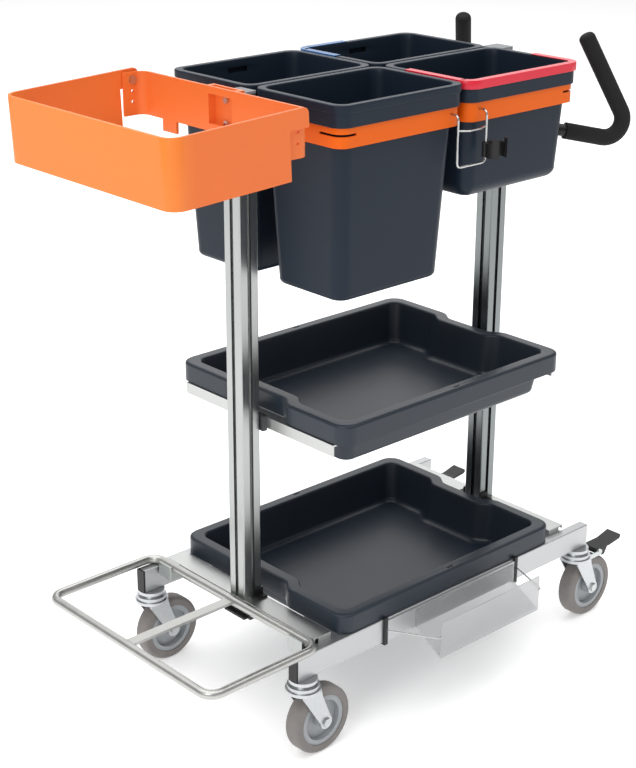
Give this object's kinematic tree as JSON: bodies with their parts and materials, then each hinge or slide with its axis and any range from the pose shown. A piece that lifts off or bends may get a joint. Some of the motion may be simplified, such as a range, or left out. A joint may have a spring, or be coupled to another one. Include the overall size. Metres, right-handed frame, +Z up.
{
  "type": "janitor cart",
  "caption": "Wheeled janitor cart with slotted masts that carry stacked trays, lift-out buckets, a fold-up bag ring and bag support, and bent push handles.",
  "frame": {"origin": "on the floor, under the middle of the bounding box", "axes": "+Z up, +X from the bag end to the handle end, +Y away from the side with the tool trough"},
  "size_m": [1.0926, 0.532, 1.1467],
  "materials": {
    "bare_aluminium": "satin extruded",
    "satin_tube": "satin",
    "black_tube": "black coat",
    "zinc_steel": "zinc plated",
    "steel_wire": "drawn",
    "dark_metal": "dull dark coat",
    "dark_grey_plastic": "fine grained",
    "orange_plastic": "smooth",
    "black_plastic": "smooth",
    "grey_plastic": "smooth",
    "red_plastic": "smooth",
    "blue_plastic": "smooth",
    "clear_plastic": "clear",
    "black_foam": "soft foam",
    "hub_plastic": "smooth",
    "grey_tyre": "smooth tread"
  },
  "bodies": {
    "cart_frame": {"near_rail": "bare_aluminium", "far_rail": "bare_aluminium", "front_cross_profile": "bare_aluminium", "rear_cross_profile": "bare_aluminium", "front_mast": "bare_aluminium", "rear_mast": "bare_aluminium", "front_tray_bracket": "bare_aluminium", "rear_tray_bracket": "bare_aluminium", "tool_tray_strip": "bare_aluminium", "rail_end_caps": "black_plastic", "mast_feet": "black_plastic", "support_catch": "black_plastic", "handle_sockets": "black_plastic", "tool_clip": "black_plastic", "tool_tray_clips": "black_plastic", "front_bucket_frame": "orange_plastic", "rear_bucket_frame": "orange_plastic", "ring_bracket": "orange_plastic", "frame_brackets": "orange_plastic", "mast_caps": "grey_plastic", "bracket_clamps": "dark_metal", "support_saddles": "bare_aluminium", "handle_tubes": "black_tube", "near_grip": "black_foam", "far_grip": "black_foam", "tool_hook_wire": "steel_wire", "tool_tray_stays": "steel_wire", "tool_tray": "clear_plastic", "caster_races": "zinc_steel", "frame_bolts": "zinc_steel", "ring_pins": "zinc_steel"},
    "near_front_caster": {"near_front_fork": "zinc_steel", "near_front_axle": "zinc_steel"},
    "near_front_wheel": {"near_front_hub": "hub_plastic", "near_front_tyre": "grey_tyre"},
    "far_front_caster": {"far_front_fork": "zinc_steel", "far_front_axle": "zinc_steel"},
    "far_front_wheel": {"far_front_hub": "hub_plastic", "far_front_tyre": "grey_tyre"},
    "near_rear_caster": {"near_rear_fork": "zinc_steel", "near_rear_axle": "zinc_steel"},
    "near_rear_wheel": {"near_rear_hub": "hub_plastic", "near_rear_tyre": "grey_tyre"},
    "far_rear_caster": {"far_rear_fork": "zinc_steel", "far_rear_axle": "zinc_steel"},
    "far_rear_wheel": {"far_rear_hub": "hub_plastic", "far_rear_tyre": "grey_tyre"},
    "near_rear_pedal": {"near_rear_brake_pedal": "black_plastic"},
    "far_rear_pedal": {"far_rear_brake_pedal": "black_plastic"},
    "ring": {"bag_ring": "orange_plastic"},
    "bag_support": {"bag_support_frame": "satin_tube"},
    "lower_tray": {"bottom_tray": "dark_grey_plastic"},
    "upper_tray": {"middle_tray": "dark_grey_plastic"},
    "front_bucket_near": {"near_front_bucket": "dark_grey_plastic"},
    "front_bucket_far": {"far_front_bucket": "dark_grey_plastic"},
    "rear_bucket_near": {"near_rear_bucket": "dark_grey_plastic", "red_rim_clip": "red_plastic"},
    "rear_bucket_far": {"far_rear_bucket": "dark_grey_plastic", "blue_rim_clip": "blue_plastic"}
  },
  "joints": [
    {"name": "near_front_swivel", "type": "hinge", "parent": "cart_frame", "child": "near_front_caster", "pos_m": [-0.29572, -0.188, 0.1368], "axis": [0, 0, 1], "continuous": true},
    {"name": "near_front_roll", "type": "hinge", "parent": "near_front_caster", "child": "near_front_wheel", "pos_m": [-0.26272, -0.188, 0.0625], "axis": [0, 1, 0], "continuous": true},
    {"name": "far_front_swivel", "type": "hinge", "parent": "cart_frame", "child": "far_front_caster", "pos_m": [-0.29572, 0.235, 0.1368], "axis": [0, 0, 1], "continuous": true},
    {"name": "far_front_roll", "type": "hinge", "parent": "far_front_caster", "child": "far_front_wheel", "pos_m": [-0.26272, 0.235, 0.0625], "axis": [0, 1, 0], "continuous": true},
    {"name": "near_rear_swivel", "type": "hinge", "parent": "cart_frame", "child": "near_rear_caster", "pos_m": [0.42428, -0.188, 0.1368], "axis": [0, 0, 1], "continuous": true},
    {"name": "near_rear_roll", "type": "hinge", "parent": "near_rear_caster", "child": "near_rear_wheel", "pos_m": [0.45728, -0.188, 0.0625], "axis": [0, 1, 0], "continuous": true},
    {"name": "far_rear_swivel", "type": "hinge", "parent": "cart_frame", "child": "far_rear_caster", "pos_m": [0.42428, 0.235, 0.1368], "axis": [0, 0, 1], "continuous": true},
    {"name": "far_rear_roll", "type": "hinge", "parent": "far_rear_caster", "child": "far_rear_wheel", "pos_m": [0.45728, 0.235, 0.0625], "axis": [0, 1, 0], "continuous": true},
    {"name": "near_rear_brake", "type": "hinge", "parent": "near_rear_caster", "child": "near_rear_pedal", "pos_m": [0.47428, -0.188, 0.134], "axis": [0, 1, 0], "range_deg": [0, 8]},
    {"name": "far_rear_brake", "type": "hinge", "parent": "far_rear_caster", "child": "far_rear_pedal", "pos_m": [0.47428, 0.235, 0.134], "axis": [0, 1, 0], "range_deg": [0, 8]},
    {"name": "bag_ring_fold", "type": "hinge", "parent": "cart_frame", "child": "ring", "pos_m": [-0.30272, 0.0235, 1.105], "axis": [0, 1, 0], "range_deg": [0, 90]},
    {"name": "bag_support_fold", "type": "hinge", "parent": "cart_frame", "child": "bag_support", "pos_m": [-0.27472, 0.0235, 0.2081], "axis": [0, 1, 0], "range_deg": [0, 90]},
    {"name": "lower_tray_lift", "type": "slide", "parent": "cart_frame", "child": "lower_tray", "axis": [0, 0, 1], "range_m": [0, 0.2]},
    {"name": "upper_tray_lift", "type": "slide", "parent": "cart_frame", "child": "upper_tray", "axis": [0, 0, 1], "range_m": [0, 0.15]},
    {"name": "front_bucket_near_lift", "type": "slide", "parent": "cart_frame", "child": "front_bucket_near", "axis": [0, 0, 1], "range_m": [0, 0.34]},
    {"name": "front_bucket_far_lift", "type": "slide", "parent": "cart_frame", "child": "front_bucket_far", "axis": [0, 0, 1], "range_m": [0, 0.34]},
    {"name": "rear_bucket_near_lift", "type": "slide", "parent": "cart_frame", "child": "rear_bucket_near", "axis": [0, 0, 1], "range_m": [0, 0.22]},
    {"name": "rear_bucket_far_lift", "type": "slide", "parent": "cart_frame", "child": "rear_bucket_far", "axis": [0, 0, 1], "range_m": [0, 0.22]}
  ]
}
